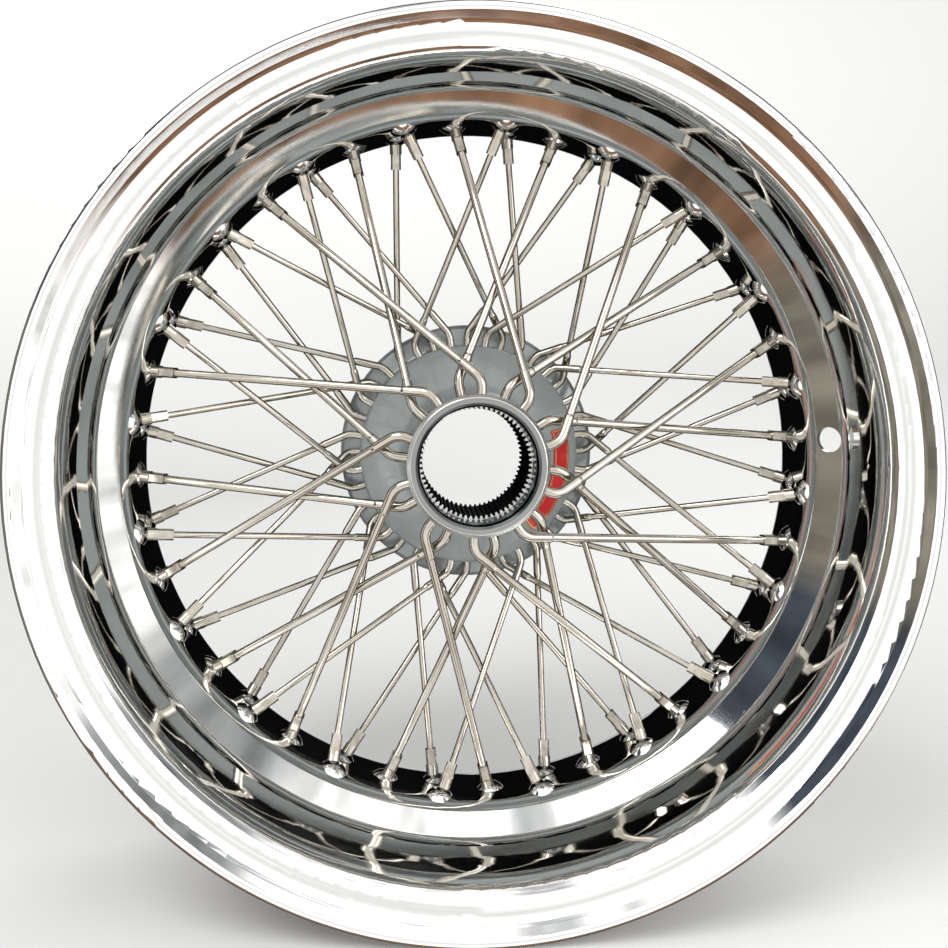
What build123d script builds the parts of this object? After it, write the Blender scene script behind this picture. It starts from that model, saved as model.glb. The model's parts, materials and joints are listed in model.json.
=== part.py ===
from build123d import *
from math import cos, radians, sin
import os

# Centre-lock wire wheel: the axis is Y, the outboard (nose) side faces -Y and +Z is up.
# The origin is on the axis, halfway between the two rim lips.

# Rim section
rim_radius = 207.5
rim_half_width = 83.0
rim_sheet = 3.0
roll_radius = 2.9
roll_end_angle = 120.0
flare_angle = 53.0
web_depth = 7.6
heel_radius = 190.6
heel_middle_radius = 186.2
heel_middle_depth = 12.1
seat_radius = 182.5
seat_start_depth = 22.25
floor_radius = 167.5
front_seat_end = -30.0
front_floor_end = -15.0
rear_floor_end = 26.0
rear_seat_end = 41.0
flare_bend = 8.8
heel_bend = 5.8
heel_middle_bend = 16.5
seat_bend = 38.0
shoulder_bend = 8.0
floor_bend = 14.0

# Valve hole
valve_hole_radius = 6.2
valve_hole_angle = 3.1
valve_hole_place = 0.43

# Rim bosses
boss_seat_radius = 166.8
boss_dome_radius = 8.5
boss_dome_depth = 6.5
recess_radius = 4.2
boss_hole_radius = 3.3

# Hub shell
nose_front = -57.0
nose_face_radius = 31.6
nose_slope_depth = 1.6
nose_ring_radius = 33.2
nose_ring_rear = -53.8
neck_front = -52.3
neck_radius = 32.0
nose_bore_radius = 27.0
nose_mouth_radius = 27.9
mouth_chamfer = 1.0
mouth_depth = 5.0
sleeve_front = -36.5
sleeve_rear = 20.0
sleeve_radius = 29.5
sleeve_chamfer = 0.5
shell_seat_rear = 4.0
shell_step = 4.5
flare_start = 2.0
dish_radius = 57.2
dish_corner = 22.0
dish_edge = 26.0
drum_radius = 56.2
drum_front = 28.0
drum_bore_radius = 52.2
drum_floor = 24.5
ring_front = 43.0
ring_radius = 68.5
ring_rise = 2.0
ring_bevel = 2.0
hub_rear = 50.0

# Splines
tooth_count = 66
tooth_tip_radius = 25.4
tooth_root_radius = 26.9
tooth_tip_share = 0.30
tooth_root_share = 0.34
spline_rear = 11.0
pilot_radius = 27.6

# Badge
badge_inner_radius = 43.6
badge_height = 10.6
badge_thickness = 0.6
badge_start = -50.0
badge_end = 16.0

# Nipples
nipple_head_radius = 4.0
nipple_head_height = 2.4
nipple_radius = 3.15
nipple_length = 14.1
nipple_flats_width = 5.3
nipple_flats_length = 8.0
nipple_flats_round = 0.9
nipple_crown_round = 1.0
slot_width = 1.2
slot_depth = 1.0
thread_clearance = 0.02

# Lacing: the pattern repeats every 36 degrees
group_count = 10
group_angle = 360.0 / group_count

# Each line of spokes: angle and place along the axis of its rim boss and of its hub hole
spoke_lines = {
    "nose_short": dict(rim=(39.2, 2.5), hub=(66.9, -41.5), kind="nose"),
    "nose_long": dict(rim=(56.9, -0.5), hub=(14.9, -49.5), kind="nose"),
    "front_steep": dict(rim=(48.9, -6.0), hub=(81.0, 31.0), kind="flange"),
    "front_shallow": dict(rim=(65.4, -6.0), hub=(36.0, 39.0), kind="flange"),
    "rear_shallow": dict(rim=(47.4, 13.0), hub=(27.0, 31.0), kind="flange"),
    "rear_steep": dict(rim=(67.4, 13.0), hub=(90.0, 39.0), kind="flange"),
}

# Each kind of spoke: hub seat, elbow corner, elbow bend, butt and shank
spoke_kinds = {
    "nose": dict(seat=29.4, corner=40.0, bend=9.0, butt=2.44, shank=2.03, head=3.7, thick=13.0),
    "flange": dict(seat=53.0, corner=64.0, bend=8.0, butt=2.03, shank=1.625, head=3.1, thick=15.0),
}
spoke_head_height = 1.6
hole_clearance = 0.12
head_pocket_clearance = 0.25
butt_step = 1.5


def on_wheel(radius, angle, along):
    """A point by its distance from the axis, angle from +X towards +Z, and place along Y."""
    return Vector(radius * cos(radians(angle)), along, radius * sin(radians(angle)))


def rim_seat(line, group):
    """Centre of the nipple's seat in the rim boss."""
    angle, along = line["rim"]
    return on_wheel(boss_seat_radius, angle + group * group_angle, along)


def hub_point(line, group, radius):
    """A point on the hub hole's axis."""
    angle, along = line["hub"]
    return on_wheel(radius, angle + group * group_angle, along)


def elbow_corner(line, group):
    return hub_point(line, group, spoke_kinds[line["kind"]]["corner"])


def inward(line, group):
    """Direction from the rim seat to the elbow's corner."""
    return (elbow_corner(line, group) - rim_seat(line, group)).normalized()


def nipple_planes(lift):
    """Planes across every nipple, lifted from the seat away from the hub."""
    planes = []
    for line in spoke_lines.values():
        for group in range(group_count):
            way = inward(line, group)
            planes.append(Plane(rim_seat(line, group) - way * lift, z_dir=way))
    return planes


def hub_planes(kind, radius):
    """Planes across every hub hole of one kind of spoke, facing outward."""
    planes = []
    for line in spoke_lines.values():
        if line["kind"] == kind:
            for group in range(group_count):
                place = hub_point(line, group, radius)
                planes.append(Plane(place, z_dir=Vector(place.X, 0, place.Z)))
    return planes


def finish(piece, label):
    piece.label = label
    export_step(piece, f"parts/{label}.step")


os.makedirs("parts", exist_ok=True)

# ---------------------------------------------------------------- rim
def rolled_lip(side):
    """Points of one lip's roll, from its hidden end to where it leaves for the flange."""
    middle = Vector(rim_radius - roll_radius, side * (rim_half_width - roll_radius))
    points = []
    for angle in (-roll_end_angle, (flare_angle - roll_end_angle) / 2, flare_angle):
        way = Vector(-sin(radians(angle)), side * cos(radians(angle)))
        points.append(middle + way * roll_radius)
    return points


def flange_corners(side, leave):
    """Corners from the foot of the flare through the bead's heel to the start of the seat."""
    web = side * (rim_half_width - web_depth)
    run = abs(leave.Y - web) / sin(radians(flare_angle))
    return [
        (leave.X - run * cos(radians(flare_angle)), web),
        (heel_radius, web),
        (heel_middle_radius, side * (rim_half_width - heel_middle_depth)),
        (seat_radius, side * (rim_half_width - seat_start_depth)),
    ]


front_lip = rolled_lip(-1)
rear_lip = rolled_lip(1)
front_corners = flange_corners(-1, front_lip[-1])
rear_corners = flange_corners(1, rear_lip[-1])
section_bends = [flare_bend, heel_bend, heel_middle_bend, seat_bend, shoulder_bend, floor_bend]

with BuildPart() as rim:
    with BuildSketch(Plane.XY):
        with BuildLine():
            ThreePointArc(*front_lip)
            FilletPolyline(
                front_lip[-1],
                *front_corners,
                (seat_radius, front_seat_end),
                (floor_radius, front_floor_end),
                (floor_radius, rear_floor_end),
                (seat_radius, rear_seat_end),
                *reversed(rear_corners),
                rear_lip[-1],
                radius=section_bends + section_bends[::-1],
            )
            ThreePointArc(*reversed(rear_lip))
            offset(amount=rim_sheet, side=Side.RIGHT)
        make_face()
    revolve(axis=Axis.Y)

# The bosses are low domes on the floor and reach no further out than the middle of the sheet
with BuildPart() as bosses:
    with Locations(*nipple_planes(boss_dome_depth)):
        Sphere(boss_dome_radius)
    with BuildSketch(Plane.XZ):
        Circle(floor_radius + rim_sheet / 2)
    extrude(amount=rim_half_width, both=True, mode=Mode.INTERSECT)

# The valve hole goes square through the outboard wall of the well
wall_start = Vector(seat_radius, front_seat_end)
wall_end = Vector(floor_radius, front_floor_end)
wall_run = wall_end - wall_start
valve_middle = wall_start + wall_run * valve_hole_place
valve_place = on_wheel(valve_middle.X, valve_hole_angle, valve_middle.Y)
wall_normal = Vector(-wall_run.Y, wall_run.X).normalized()
valve_way = on_wheel(wall_normal.X, valve_hole_angle, wall_normal.Y)

with BuildPart() as finished_rim:
    add(rim.part)
    add(bosses.part)
    with Locations(*nipple_planes(0)):
        Cylinder(
            recess_radius,
            boss_dome_radius,
            align=(Align.CENTER, Align.CENTER, Align.MAX),
            mode=Mode.SUBTRACT,
        )
    with Locations(*nipple_planes(1)):
        Cylinder(
            boss_hole_radius,
            boss_dome_radius,
            align=(Align.CENTER, Align.CENTER, Align.MIN),
            mode=Mode.SUBTRACT,
        )
    with Locations(Plane(valve_place, z_dir=valve_way)):
        Cylinder(valve_hole_radius, 4 * rim_sheet, mode=Mode.SUBTRACT)

finish(finished_rim.part, "rim")


# ---------------------------------------------------------------- hub shell
outside_bends = [0.6, 0.6, 0.4, 0.4, 14.0, 4.0, 0.8, 0.8, 3.0, 1.0, 1.0]
inside_bends = [2.0, 3.0, 2.0, 1.0, 0.2, 0.2, 1.0, 0.2]
with BuildPart() as hub_shell:
    with BuildSketch(Plane.XY):
        with BuildLine():
            outside = FilletPolyline(
                (nose_mouth_radius + mouth_chamfer, nose_front),
                (nose_face_radius, nose_front),
                (nose_ring_radius, nose_front + nose_slope_depth),
                (nose_ring_radius, nose_ring_rear),
                (neck_radius, neck_front),
                (neck_radius, flare_start),
                (dish_radius, dish_corner),
                (dish_radius, dish_edge),
                (drum_radius, drum_front),
                (drum_radius, ring_front),
                (ring_radius - ring_bevel, ring_front + ring_rise),
                (ring_radius, ring_front + ring_rise + ring_bevel),
                (ring_radius, hub_rear),
                radius=outside_bends,
            )
            inside = FilletPolyline(
                outside @ 1,
                (drum_bore_radius, hub_rear),
                (drum_bore_radius, drum_floor),
                (sleeve_radius + shell_step, shell_seat_rear + shell_step),
                (sleeve_radius, shell_seat_rear),
                (sleeve_radius, sleeve_front),
                (nose_bore_radius, sleeve_front),
                (nose_bore_radius, nose_front + mouth_depth),
                (nose_mouth_radius, nose_front + mouth_chamfer),
                outside @ 0,
                radius=inside_bends,
            )
        make_face()
    revolve(axis=Axis.Y)
    for kind, size in spoke_kinds.items():
        hole_radius = size["butt"] + hole_clearance
        pocket_radius = size["head"] + head_pocket_clearance
        with Locations(*hub_planes(kind, size["seat"] - 1.0)):
            Cylinder(
                hole_radius,
                size["corner"] - size["seat"],
                align=(Align.CENTER, Align.CENTER, Align.MIN),
                mode=Mode.SUBTRACT,
            )
        with Locations(*hub_planes(kind, size["seat"])):
            Cylinder(
                pocket_radius,
                2 * spoke_head_height,
                align=(Align.CENTER, Align.CENTER, Align.MAX),
                mode=Mode.SUBTRACT,
            )

finish(hub_shell.part, "hub_shell")

# ---------------------------------------------------------------- splined sleeve
tooth_pitch = 360.0 / tooth_count
tooth_outline = []
for tooth in range(tooth_count):
    for radius, share, side in (
        (tooth_root_radius, tooth_root_share, -1),
        (tooth_root_radius, tooth_root_share, 1),
        (tooth_tip_radius, tooth_tip_share, -1),
        (tooth_tip_radius, tooth_tip_share, 1),
    ):
        middle = tooth + (0.5 if radius == tooth_tip_radius else 0.0)
        angle = (middle + side * share / 2) * tooth_pitch
        tooth_outline.append((radius * cos(radians(angle)), radius * sin(radians(angle))))

with BuildPart() as spline_sleeve:
    with BuildSketch(Plane.XZ.offset(-sleeve_rear)):
        Circle(sleeve_radius)
        with BuildLine():
            Polyline(*tooth_outline, close=True)
        make_face(mode=Mode.SUBTRACT)
    extrude(amount=sleeve_rear - sleeve_front)
    with BuildSketch(Plane.XY):
        with BuildLine():
            Polyline(
                (0, spline_rear),
                (pilot_radius, spline_rear),
                (pilot_radius, sleeve_rear),
                (0, sleeve_rear),
                close=True,
            )
        make_face()
    revolve(axis=Axis.Y, mode=Mode.SUBTRACT)
    outer_rims = spline_sleeve.edges().filter_by(lambda edge: edge.length > 6 * sleeve_radius)
    chamfer(outer_rims, length=sleeve_chamfer)

finish(spline_sleeve.part, "spline_sleeve")

# ---------------------------------------------------------------- badge
dish_slope = Vector(dish_radius - neck_radius, dish_corner - flare_start).normalized()
dish_normal = Vector(dish_slope.Y, -dish_slope.X)
badge_foot = Vector(neck_radius, flare_start) + dish_slope * (
    (badge_inner_radius - neck_radius) / dish_slope.X
)
badge_head = badge_foot + dish_slope * badge_height
badge_plane = Plane(
    (0, 0, 0),
    x_dir=on_wheel(1, badge_end, 0),
    z_dir=on_wheel(1, badge_end + 90, 0),
)

with BuildPart() as badge:
    with BuildSketch(badge_plane):
        with BuildLine():
            Polyline(
                badge_foot,
                badge_head,
                badge_head + dish_normal * badge_thickness,
                badge_foot + dish_normal * badge_thickness,
                close=True,
            )
        make_face()
    revolve(axis=Axis.Y, revolution_arc=badge_end - badge_start)

finish(badge.part, "badge")


# ---------------------------------------------------------------- spokes
def make_spoke(line):
    """The spoke of one line in the first group, from its head in the hub to its threaded tip."""
    size = spoke_kinds[line["kind"]]
    way = inward(line, 0)
    seat = hub_point(line, 0, size["seat"])
    corner = elbow_corner(line, 0)
    outward = (corner - seat).normalized()
    butt_end = corner - way * size["thick"]
    shank_start = butt_end - way * butt_step
    tip = rim_seat(line, 0) - way * (nipple_head_height - slot_depth)
    with BuildPart() as spoke:
        with BuildLine() as elbow:
            FilletPolyline(seat, corner, butt_end, radius=size["bend"])
        with BuildSketch(Plane(seat, z_dir=outward)):
            Circle(size["butt"])
        sweep()
        with BuildSketch(Plane(butt_end, z_dir=-way)):
            Circle(size["butt"])
        with BuildSketch(Plane(shank_start, z_dir=-way)):
            Circle(size["shank"])
        loft()
        with BuildSketch(Plane(shank_start, z_dir=-way)):
            Circle(size["shank"])
        extrude(amount=(tip - shank_start).length)
        with BuildSketch(Plane(seat, z_dir=-outward)):
            Circle(size["head"])
        extrude(amount=spoke_head_height)
        crown = spoke.faces().sort_by(Axis(seat, -outward))[-1]
        fillet(crown.edges(), radius=spoke_head_height / 2)
    return spoke.part


# ---------------------------------------------------------------- nipples
def make_nipple(line):
    """The nipple of one line in the first group, with its head on the boss seat."""
    shank = spoke_kinds[line["kind"]]["shank"]
    seat_plane = Plane(rim_seat(line, 0), z_dir=inward(line, 0))
    with BuildPart() as nipple:
        with BuildSketch(seat_plane):
            Circle(nipple_radius)
        extrude(amount=nipple_length)
        with BuildSketch(seat_plane.offset(nipple_length - nipple_flats_length)):
            Circle(2 * nipple_radius)
            RectangleRounded(nipple_flats_width, nipple_flats_width, nipple_flats_round, mode=Mode.SUBTRACT)
        extrude(amount=nipple_flats_length, mode=Mode.SUBTRACT)
        with BuildSketch(seat_plane):
            Circle(nipple_head_radius)
        extrude(amount=-nipple_head_height)
        crown = nipple.faces().sort_by(Axis(seat_plane.origin, seat_plane.z_dir))[0]
        fillet(crown.edges(), radius=nipple_crown_round)
        with BuildSketch(seat_plane.offset(-nipple_head_height)):
            Rectangle(3 * nipple_head_radius, slot_width)
        extrude(amount=slot_depth, mode=Mode.SUBTRACT)
        with BuildSketch(seat_plane.offset(-nipple_head_height)):
            Circle(shank + thread_clearance)
        extrude(amount=nipple_length + nipple_head_height, mode=Mode.SUBTRACT)
    return nipple.part


def swung(piece, group):
    """The piece turned about the wheel's axis to its place in another group."""
    return piece.rotate(Axis.Y, -group * group_angle)


first_spokes = {name: make_spoke(line) for name, line in spoke_lines.items()}
first_nipples = {name: make_nipple(line) for name, line in spoke_lines.items()}
spoke_pairs = {"steep": ("front_steep", "rear_steep"), "shallow": ("front_shallow", "rear_shallow")}

for group in range(group_count):
    number = f"{group + 1:02d}"
    for name in ("nose_short", "nose_long"):
        finish(swung(first_spokes[name], group), f"{name}_spoke_{number}")
    for pair, names in spoke_pairs.items():
        both = Compound(children=[swung(first_spokes[name], group) for name in names])
        finish(both, f"{pair}_spokes_{number}")
    six = Compound(children=[swung(nipple, group) for nipple in first_nipples.values()])
    finish(six, f"nipples_{number}")
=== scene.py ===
import json
from math import cos, radians, sin

import bpy
from mathutils import Matrix, Vector


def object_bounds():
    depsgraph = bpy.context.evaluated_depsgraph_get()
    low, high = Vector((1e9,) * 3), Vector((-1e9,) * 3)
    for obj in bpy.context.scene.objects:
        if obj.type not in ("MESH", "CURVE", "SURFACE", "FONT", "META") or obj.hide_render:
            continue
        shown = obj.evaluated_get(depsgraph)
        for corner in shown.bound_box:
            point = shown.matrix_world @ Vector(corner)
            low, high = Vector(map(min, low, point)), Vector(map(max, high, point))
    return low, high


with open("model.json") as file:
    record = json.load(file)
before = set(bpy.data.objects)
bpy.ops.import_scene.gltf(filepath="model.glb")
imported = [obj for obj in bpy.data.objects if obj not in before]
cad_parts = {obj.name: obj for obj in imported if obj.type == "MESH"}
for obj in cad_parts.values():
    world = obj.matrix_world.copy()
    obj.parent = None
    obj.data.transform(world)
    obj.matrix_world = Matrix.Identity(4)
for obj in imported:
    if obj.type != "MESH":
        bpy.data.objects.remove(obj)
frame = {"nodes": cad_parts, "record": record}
cad_low, cad_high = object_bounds()
nodes = frame["nodes"]

# The wheel's axis is Y, its outboard side faces -Y and +Z is up. Lengths are in metres.

# ---------------------------------------------------------------- camera
CAMERA_PLACE = Vector((-0.0352, -0.5817, 0.0456))
CAMERA_PAN = radians(2.79)
CAMERA_TILT = radians(1.04)
CAMERA_LENS = 43.52
CAMERA_SHIFT = (0.0169, -0.135)
CAMERA_NEAREST = 0.01


def add_camera():
    """The camera, turned by its pan about Z and its tilt above the floor."""
    data = bpy.data.cameras.new("camera")
    data.lens = CAMERA_LENS
    data.shift_x, data.shift_y = CAMERA_SHIFT
    data.clip_start = CAMERA_NEAREST
    camera = bpy.data.objects.new("camera", data)
    bpy.context.scene.collection.objects.link(camera)
    level = cos(CAMERA_TILT)
    way = Vector((sin(CAMERA_PAN) * level, cos(CAMERA_PAN) * level, sin(CAMERA_TILT)))
    right = Vector((cos(CAMERA_PAN), -sin(CAMERA_PAN), 0))
    up = right.cross(way)
    turn = Matrix((right, up, -way)).transposed()
    camera.matrix_world = Matrix.Translation(CAMERA_PLACE) @ turn.to_4x4()
    bpy.context.scene.camera = camera


# ---------------------------------------------------------------- floor and card
FLOOR_PAPER = (0.80, 0.80, 0.79, 1)
FLOOR_NEAR = 0.4
FLOOR_FLAT = 1.7
FLOOR_BEND = 1.6
FLOOR_WALL_TOP = 4.5
FLOOR_BEND_STEPS = 16
FLOOR_TURN_STEPS = 96
CARD_BLACK = (0.004, 0.004, 0.004, 1)
CARD_RADIUS = 0.165
CARD_BEHIND = 0.105
CARD_TURN_STEPS = 48
POLE_RADIUS = 0.001


def revolved(name, points, steps):
    """A smooth mesh turned about Z from (radius, height) points."""
    vertices = []
    for step in range(steps):
        angle = radians(360.0 * step / steps)
        vertices += [(radius * cos(angle), radius * sin(angle), height) for radius, height in points]
    count = len(points)
    faces = []
    for step in range(steps):
        here, there = step * count, (step + 1) % steps * count
        for k in range(count - 1):
            faces.append((here + k, there + k, there + k + 1, here + k + 1))
    mesh = bpy.data.meshes.new(name)
    mesh.from_pydata(vertices, [], faces)
    mesh.shade_smooth()
    return mesh


def staged(mesh, unseen, material_name, colour, roughness, sheen):
    """An object of the stage in one matt colour, left out of the unseen kinds of ray."""
    thing = bpy.data.objects.new(mesh.name, mesh)
    bpy.context.scene.collection.objects.link(thing)
    for ray in unseen:
        setattr(thing, "visible_" + ray, False)
    material = bpy.data.materials.new(material_name)
    material.use_nodes = True
    shader = material.node_tree.nodes["Principled BSDF"]
    shader.inputs["Base Color"].default_value = colour
    shader.inputs["Roughness"].default_value = roughness
    shader.inputs["Specular IOR Level"].default_value = sheen
    mesh.materials.append(material)
    return thing


def add_floor():
    """A plain pale floor that meets the rim and curves up into a wall all round, seen only by the camera."""
    ground = cad_low.z
    points = [(POLE_RADIUS, ground), (FLOOR_NEAR, ground), (FLOOR_FLAT, ground)]
    for step in range(1, FLOOR_BEND_STEPS + 1):
        angle = radians(90.0 * step / FLOOR_BEND_STEPS)
        points.append((FLOOR_FLAT + FLOOR_BEND * sin(angle), ground + FLOOR_BEND * (1 - cos(angle))))
    points.append((FLOOR_FLAT + FLOOR_BEND, FLOOR_WALL_TOP))
    mesh = revolved("floor", points, FLOOR_TURN_STEPS)
    staged(mesh, ("glossy", "diffuse", "shadow"), "floor_paper", FLOOR_PAPER, 0.9, 0.1)


def add_dark_card():
    """A black card upright behind the hub that only reflections see, like a dark wall behind the wheel."""
    mesh = revolved("dark_card", [(POLE_RADIUS, 0.0), (CARD_RADIUS, 0.0)], CARD_TURN_STEPS)
    card = staged(mesh, ("camera", "diffuse", "shadow"), "black_card", CARD_BLACK, 1.0, 0.0)
    card.rotation_euler = (radians(90), 0, 0)
    card.location = (0, CARD_BEHIND, 0)


# ---------------------------------------------------------------- light
WHITE = (1.0, 1.0, 0.99)
CREAM = (0.92, 0.92, 0.90)
WOOD = (0.18, 0.10, 0.060)
SLATE = (0.045, 0.055, 0.070)
GREY = (0.26, 0.27, 0.27)
BEIGE = (0.17, 0.155, 0.125)
WINDOW_BAR = (0.45, 0.46, 0.46)
BACKDROP = (0.86, 0.86, 0.85, 1)
WORLD_STRENGTH = 1.5

# Light by place along the axis, from 0 in front of the wheel to 1 behind it.
LIGHT_ALONG = [
    (0.00, (0.62, 0.62, 0.61)),
    (0.02, (0.80, 0.80, 0.79)),
    (0.05, WHITE),
    (0.22, WHITE),
    (0.40, (0.36, 0.36, 0.35)),
    (0.50, (0.11, 0.11, 0.11)),
    (0.74, (0.06, 0.06, 0.06)),
    (0.84, (0.10, 0.10, 0.10)),
    (0.92, (0.30, 0.30, 0.30)),
    (1.00, (0.34, 0.34, 0.34)),
]

# Light by angle round the axis: 0 and 1 are left, 0.25 is down, 0.5 is right and 0.75 is up.
LIGHT_ROUND = [
    (0.000, BEIGE),
    (0.090, BEIGE),
    (0.125, WOOD),
    (0.385, WOOD),
    (0.430, CREAM),
    (0.545, CREAM),
    (0.580, GREY),
    (0.640, GREY),
    (0.670, WHITE),
    (0.750, WHITE),
    (0.760, WINDOW_BAR),
    (0.775, WINDOW_BAR),
    (0.785, WHITE),
    (0.850, WHITE),
    (0.870, SLATE),
    (0.945, SLATE),
    (0.965, BEIGE),
    (1.000, BEIGE),
]

# How much of the light round the axis shows, by place along the axis: only to the sides and in front.
ROUND_SHARE = [
    (0.00, (0.0, 0.0, 0.0)),
    (0.21, (0.0, 0.0, 0.0)),
    (0.25, (1.0, 1.0, 1.0)),
    (0.48, (1.0, 1.0, 1.0)),
    (0.56, (0.0, 0.0, 0.0)),
    (1.00, (0.0, 0.0, 0.0)),
]

# Each soft box: name, place, width and power in watts. All of them face the hub.
SOFTBOXES = [
    ("key", (-0.9, -1.3, 1.5), 1.2, 22),
    ("fill", (1.3, -1.4, 0.5), 1.4, 10),
    ("back", (0.8, 1.5, 1.2), 1.4, 12),
]


def ramp(tree, value, stops):
    """A colour ramp over a value from 0 to 1."""
    node = tree.nodes.new("ShaderNodeValToRGB")
    first, last = node.color_ramp.elements
    first.position, first.color = stops[0][0], (*stops[0][1], 1)
    last.position, last.color = stops[-1][0], (*stops[-1][1], 1)
    for position, colour in stops[1:-1]:
        node.color_ramp.elements.new(position).color = (*colour, 1)
    tree.links.new(value, node.inputs["Fac"])
    return node.outputs["Color"]


def scaled(tree, value, low, high, to_low=0.0, to_high=1.0):
    """A value moved from the span low to high onto the span to_low to to_high, and kept in it."""
    node = tree.nodes.new("ShaderNodeMapRange")
    for name, given in (("From Min", low), ("From Max", high), ("To Min", to_low), ("To Max", to_high)):
        node.inputs[name].default_value = given
    tree.links.new(value, node.inputs["Value"])
    return node.outputs[0]


def mottled(tree, colour, place):
    """A colour made lighter and darker in soft patches."""
    patches = tree.nodes.new("ShaderNodeTexNoise")
    patches.inputs["Scale"].default_value = 9.0
    patches.inputs["Detail"].default_value = 3.0
    tree.links.new(place, patches.inputs["Vector"])
    node = tree.nodes.new("ShaderNodeVectorMath")
    node.operation = "SCALE"
    tree.links.new(colour, node.inputs[0])
    tree.links.new(scaled(tree, patches.outputs["Fac"], 0.3, 0.7, 0.45, 1.45), node.inputs["Scale"])
    return node.outputs[0]


def room_light(tree):
    """The colour of the room by direction, brightest in front of the wheel and dark behind it."""
    place = tree.nodes.new("ShaderNodeTexCoord").outputs["Generated"]
    split = tree.nodes.new("ShaderNodeSeparateXYZ")
    tree.links.new(place, split.inputs[0])
    along = scaled(tree, split.outputs["Y"], -1.0, 1.0)
    angle = tree.nodes.new("ShaderNodeMath")
    angle.operation = "ARCTAN2"
    tree.links.new(split.outputs["Z"], angle.inputs[0])
    tree.links.new(split.outputs["X"], angle.inputs[1])
    half_turn = radians(180)
    sides = ramp(tree, scaled(tree, angle.outputs[0], -half_turn, half_turn), LIGHT_ROUND)
    blend = tree.nodes.new("ShaderNodeMix")
    blend.data_type = "RGBA"
    tree.links.new(ramp(tree, along, ROUND_SHARE), blend.inputs["Factor"])
    tree.links.new(ramp(tree, along, LIGHT_ALONG), blend.inputs["A"])
    tree.links.new(mottled(tree, sides, place), blend.inputs["B"])
    return blend.outputs["Result"]


def add_world():
    """The room's light on the wheel, and a plain pale backdrop where the camera sees past the floor."""
    world = bpy.data.worlds.new("studio")
    bpy.context.scene.world = world
    world.use_nodes = True
    tree = world.node_tree
    tree.nodes.clear()
    lit = tree.nodes.new("ShaderNodeBackground")
    lit.inputs["Strength"].default_value = WORLD_STRENGTH
    tree.links.new(room_light(tree), lit.inputs["Color"])
    seen = tree.nodes.new("ShaderNodeBackground")
    seen.inputs["Color"].default_value = BACKDROP
    seen.inputs["Strength"].default_value = 1.0
    rays = tree.nodes.new("ShaderNodeLightPath")
    pick = tree.nodes.new("ShaderNodeMixShader")
    tree.links.new(rays.outputs["Is Camera Ray"], pick.inputs["Fac"])
    tree.links.new(lit.outputs[0], pick.inputs[1])
    tree.links.new(seen.outputs[0], pick.inputs[2])
    out = tree.nodes.new("ShaderNodeOutputWorld")
    tree.links.new(pick.outputs[0], out.inputs["Surface"])


def add_softbox(name, place, width, power):
    """A round soft box that faces the hub."""
    data = bpy.data.lights.new(name, "AREA")
    data.shape = "DISK"
    data.size = width
    data.energy = power
    light = bpy.data.objects.new(name, data)
    bpy.context.scene.collection.objects.link(light)
    light.rotation_mode = "QUATERNION"
    light.rotation_quaternion = (-Vector(place)).to_track_quat("-Z", "Y")
    light.location = place


def add_studio():
    """The room and its soft boxes."""
    add_world()
    for name, place, width, power in SOFTBOXES:
        add_softbox(name, place, width, power)
    bpy.context.scene.view_settings.view_transform = "Standard"


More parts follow.
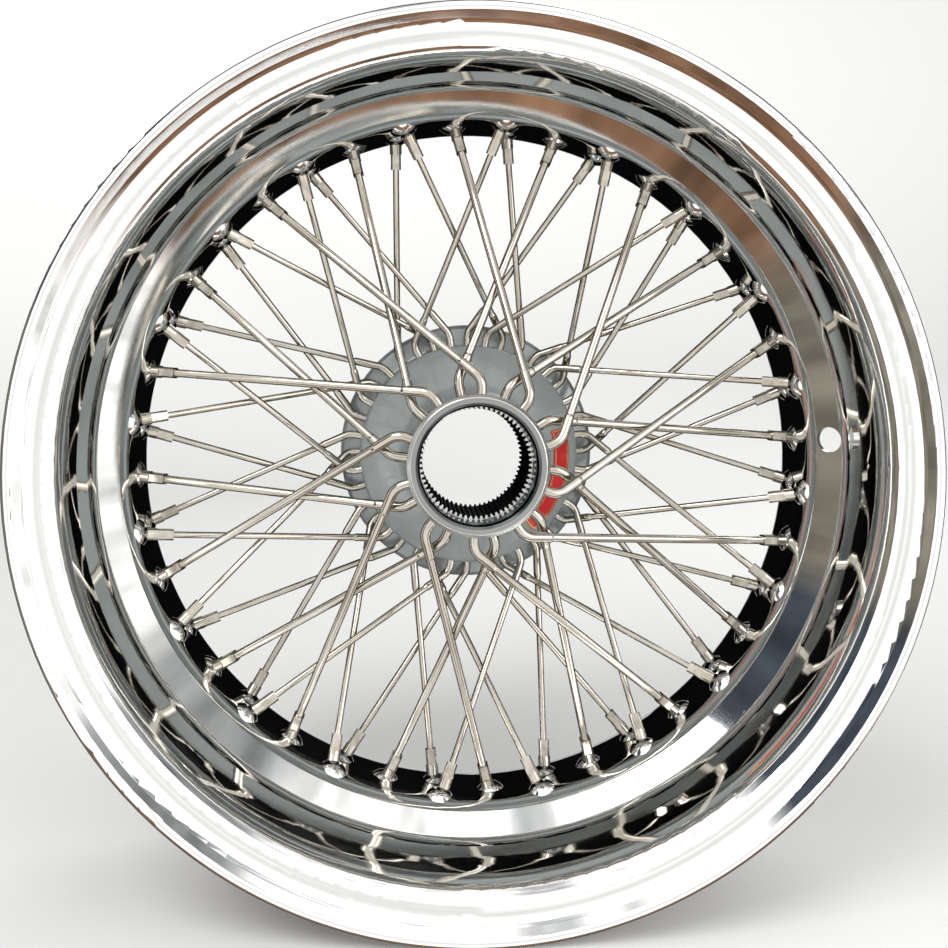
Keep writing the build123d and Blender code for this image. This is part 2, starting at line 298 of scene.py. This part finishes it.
# ---------------------------------------------------------------- material helpers
class Look:
    """A principled material and short ways to add the nodes that drive it."""

    def __init__(self, name):
        self.material = bpy.data.materials.new(name)
        self.material.use_nodes = True
        self.tree = self.material.node_tree
        self.shader = self.tree.nodes["Principled BSDF"]
        self.place = self.tree.nodes.new("ShaderNodeTexCoord").outputs["Object"]

    def link(self, source, target):
        self.tree.links.new(source, target)

    def put(self, socket, value):
        """Links a node's output to a socket, or sets a plain value on it."""
        if isinstance(value, bpy.types.NodeSocket):
            self.link(value, socket)
        else:
            socket.default_value = (*value, 1) if isinstance(value, tuple) else value

    def set(self, **values):
        """Sets the shader's own values, with _ for each space in a name."""
        for name, value in values.items():
            self.put(self.shader.inputs[name.replace("_", " ")], value)

    def sum(self, kind, a, b=0.0, clamp=False):
        """One step of arithmetic on one or two values."""
        node = self.tree.nodes.new("ShaderNodeMath")
        node.operation = kind
        node.use_clamp = clamp
        self.put(node.inputs[0], a)
        self.put(node.inputs[1], b)
        return node.outputs[0]

    def range(self, value, low, high, to_low=0.0, to_high=1.0):
        return scaled(self.tree, value, low, high, to_low, to_high)

    def below(self, value, edge, soft):
        """1 where a value is less than the edge, 0 where it is more than that by the soft width."""
        return self.range(value, edge, edge + soft, 1.0, 0.0)

    def mix(self, share, a, b):
        """Colour a where the share is 0 and colour b where it is 1."""
        node = self.tree.nodes.new("ShaderNodeMix")
        node.data_type = "RGBA"
        self.put(node.inputs["Factor"], share)
        self.put(node.inputs["A"], a)
        self.put(node.inputs["B"], b)
        return node.outputs["Result"]

    def wheel_place(self):
        """(distance from the axis, angle round it, place along it) of a point, in metres and radians."""
        split = self.tree.nodes.new("ShaderNodeSeparateXYZ")
        self.link(self.place, split.inputs[0])
        x, y, z = split.outputs
        squares = self.sum("ADD", self.sum("MULTIPLY", x, x), self.sum("MULTIPLY", z, z))
        return self.sum("SQRT", squares), self.sum("ARCTAN2", z, x), y

    def noise(self, scale, detail=3.0, where=None):
        node = self.tree.nodes.new("ShaderNodeTexNoise")
        self.link(where or self.place, node.inputs["Vector"])
        node.inputs["Scale"].default_value = scale
        node.inputs["Detail"].default_value = detail
        return node.outputs["Fac"]

    def turned(self, scale):
        """Noise drawn out round the axis, as left by turning or polishing."""
        radius, angle, along = self.wheel_place()
        spread = self.tree.nodes.new("ShaderNodeCombineXYZ")
        self.link(self.sum("MULTIPLY", radius, scale), spread.inputs[0])
        self.link(self.sum("MULTIPLY", angle, 3.0), spread.inputs[1])
        self.link(self.sum("MULTIPLY", along, scale), spread.inputs[2])
        return self.noise(1.0, 2.0, spread.outputs[0])

    def bump(self, height, strength, distance, under=None):
        """A bump of a height map, on top of another bump where one is given."""
        node = self.tree.nodes.new("ShaderNodeBump")
        node.inputs["Strength"].default_value = strength
        node.inputs["Distance"].default_value = distance
        self.link(height, node.inputs["Height"])
        if under is not None:
            self.link(under, node.inputs["Normal"])
        return node.outputs["Normal"]


# ---------------------------------------------------------------- materials
NOSE_RING_BACK = -0.0531
NOSE_RING_EDGES = (0.0310, 0.0289)
BORE_SHADE_FRONT = -0.0545
BORE_SHADE_RADIUS = 0.0301
TEETH_HIGHLIGHT_FRONT = -0.0362
BADGE_INNER = 0.0440
BADGE_OUTER = 0.0523
BADGE_MIDDLE = 0.048
BADGE_ENDS = (-50.0, 16.0)
GILT_INSET = 0.0004
GILT_WIDTH = 0.0007
GILT_SOFT = 0.00006


def rim_chrome():
    """Polished chrome with faint turned lines, soft waves, haze and a little dust."""
    look = Look("rim_chrome")
    lines = look.turned(2600.0)
    haze = look.noise(18.0, 4.0)
    specks = look.noise(900.0, 2.0)
    dust = look.range(specks, 0.66, 0.78, 0.0, 0.10)
    look.set(
        Base_Color=look.mix(look.range(haze, 0.3, 0.7), (0.83, 0.83, 0.82), (0.88, 0.88, 0.87)),
        Metallic=1.0,
        Roughness=look.sum("ADD", look.range(haze, 0.35, 0.75, 0.035, 0.085), dust),
        Normal=look.bump(look.noise(60.0), 0.06, 0.0004, look.bump(lines, 0.10, 0.00002)),
    )
    return look.material


def spoke_steel():
    """Polished stainless steel, a little warm and uneven."""
    look = Look("spoke_steel")
    patch = look.noise(45.0)
    look.set(
        Base_Color=look.mix(look.range(patch, 0.3, 0.7), (0.40, 0.365, 0.31), (0.52, 0.49, 0.44)),
        Metallic=1.0,
        Roughness=look.range(patch, 0.3, 0.75, 0.07, 0.17),
        Normal=look.bump(look.noise(1400.0), 0.12, 0.00003),
    )
    return look.material


def nipple_nickel():
    """Nickel plate, duller than the spokes."""
    look = Look("nipple_nickel")
    patch = look.noise(160.0)
    look.set(
        Base_Color=look.mix(look.range(patch, 0.35, 0.7), (0.38, 0.345, 0.29), (0.52, 0.49, 0.44)),
        Metallic=1.0,
        Roughness=look.range(patch, 0.3, 0.75, 0.10, 0.24),
        Normal=look.bump(look.noise(1800.0), 0.2, 0.00004),
    )
    return look.material


def hub_paint():
    """Glossy silver paint on the hub, bare machined metal on the nose ring with painted shade on its inner
    chamfer, and painted shade in the bore.
    """
    look = Look("hub_paint")
    radius, _, along = look.wheel_place()
    bare = look.below(along, NOSE_RING_BACK, 0.0004)
    cloud = look.noise(28.0, 4.0)
    paint = look.mix(look.range(cloud, 0.3, 0.7), (0.235, 0.26, 0.26), (0.31, 0.34, 0.34))
    steel = look.mix(look.turned(3000.0), (0.42, 0.42, 0.41), (0.58, 0.58, 0.56))
    # The bare nose ring steps darker towards its inner edge; the darkest step is painted shade on its inner
    # chamfer.
    for edge, tone in zip(NOSE_RING_EDGES, ((0.34, 0.345, 0.34), (0.16, 0.17, 0.17))):
        steel = look.mix(look.below(radius, edge, 0.0004), steel, tone)
    # Painted shade: the inside of the bore, behind its front, is painted a darker grey.
    dark = look.mix(cloud, (0.10, 0.11, 0.115), (0.17, 0.185, 0.19))
    inside = look.below(radius, BORE_SHADE_RADIUS, 0.0003)
    bore = look.sum("MULTIPLY", inside, look.range(along, BORE_SHADE_FRONT, BORE_SHADE_FRONT + 0.0005))
    uneven = look.range(cloud, 0.3, 0.7, -0.04, 0.06)
    grain = look.bump(look.noise(2500.0, 2.0), 0.15, 0.00004)
    look.set(
        Base_Color=look.mix(bore, look.mix(bare, paint, steel), dark),
        Metallic=look.sum("MAXIMUM", bare, look.range(bore, 0.0, 1.0, 0.25, 0.2)),
        Coat_Weight=look.range(bare, 0.0, 1.0, 0.8, 0.0),
        Coat_Roughness=0.08,
        Roughness=look.sum("ADD", look.range(bare, 0.0, 1.0, 0.28, 0.20), uneven),
        Normal=look.bump(look.noise(70.0, 2.0), 0.25, 0.0006, grain),
    )
    return look.material


def spline_steel():
    """Oiled steel painted near black as the shade deep in the bore, with a painted highlight on the teeth's
    front ends.
    """
    look = Look("spline_steel")
    # Painted highlight: the teeth's front ends are painted near white, as where they catch the light.
    end = look.below(look.wheel_place()[2], TEETH_HIGHLIGHT_FRONT, 0.0007)
    oil_and_shade_mottle = look.noise(70.0, 4.0)
    # Painted shade: the steel is painted near black for the shade deep inside the bore.
    dark = look.mix(oil_and_shade_mottle, (0.010, 0.010, 0.011), (0.045, 0.044, 0.043))
    look.set(
        Base_Color=look.mix(end, dark, (0.85, 0.84, 0.82)),
        Metallic=0.9,
        Roughness=look.range(oil_and_shade_mottle, 0.3, 0.7, 0.28, 0.45),
        Normal=look.bump(look.noise(1500.0), 0.15, 0.00004),
    )
    return look.material


def badge_inset(look):
    """The distance of a point of the badge from its nearest edge."""
    radius, angle, _ = look.wheel_place()
    from_inner = look.sum("SUBTRACT", radius, BADGE_INNER)
    from_outer = look.sum("SUBTRACT", BADGE_OUTER, radius)
    inset = look.sum("MINIMUM", from_inner, from_outer)
    for end, way in zip(BADGE_ENDS, (1.0, -1.0)):
        from_end = look.sum("MULTIPLY", look.sum("SUBTRACT", angle, radians(end)), BADGE_MIDDLE * way)
        inset = look.sum("MINIMUM", inset, from_end)
    return inset


def badge_enamel():
    """Red enamel inside a thin gilt line that follows the badge's edge."""
    look = Look("badge_enamel")
    cloud = look.noise(90.0, 4.0)
    inset = badge_inset(look)
    start, stop = GILT_INSET - GILT_SOFT, GILT_INSET + GILT_WIDTH - GILT_SOFT
    rise = look.range(inset, start, start + 2 * GILT_SOFT)
    gilt = look.sum("MULTIPLY", rise, look.below(inset, stop, 2 * GILT_SOFT), clamp=True)
    enamel = look.mix(look.range(cloud, 0.3, 0.7), (0.42, 0.006, 0.010), (0.58, 0.012, 0.018))
    look.set(
        Base_Color=look.mix(gilt, enamel, (0.80, 0.55, 0.18)),
        Metallic=gilt,
        Roughness=look.range(cloud, 0.3, 0.7, 0.16, 0.28),
        Coat_Weight=0.6,
        Coat_Roughness=0.08,
        Normal=look.bump(look.noise(500.0), 0.08, 0.00005),
    )
    return look.material


def paint_nodes():
    """Gives each CAD node the finish of its material slot."""
    makers = (rim_chrome, spoke_steel, nipple_nickel, hub_paint, spline_steel, badge_enamel)
    finishes = {maker.__name__: maker() for maker in makers}
    for part in frame["record"]["subparts"]:
        piece = nodes[part["node"]]
        piece.data.materials.clear()
        piece.data.materials.append(finishes[part["material_slot"]])


add_camera()
add_floor()
add_dark_card()
add_studio()
paint_nodes()
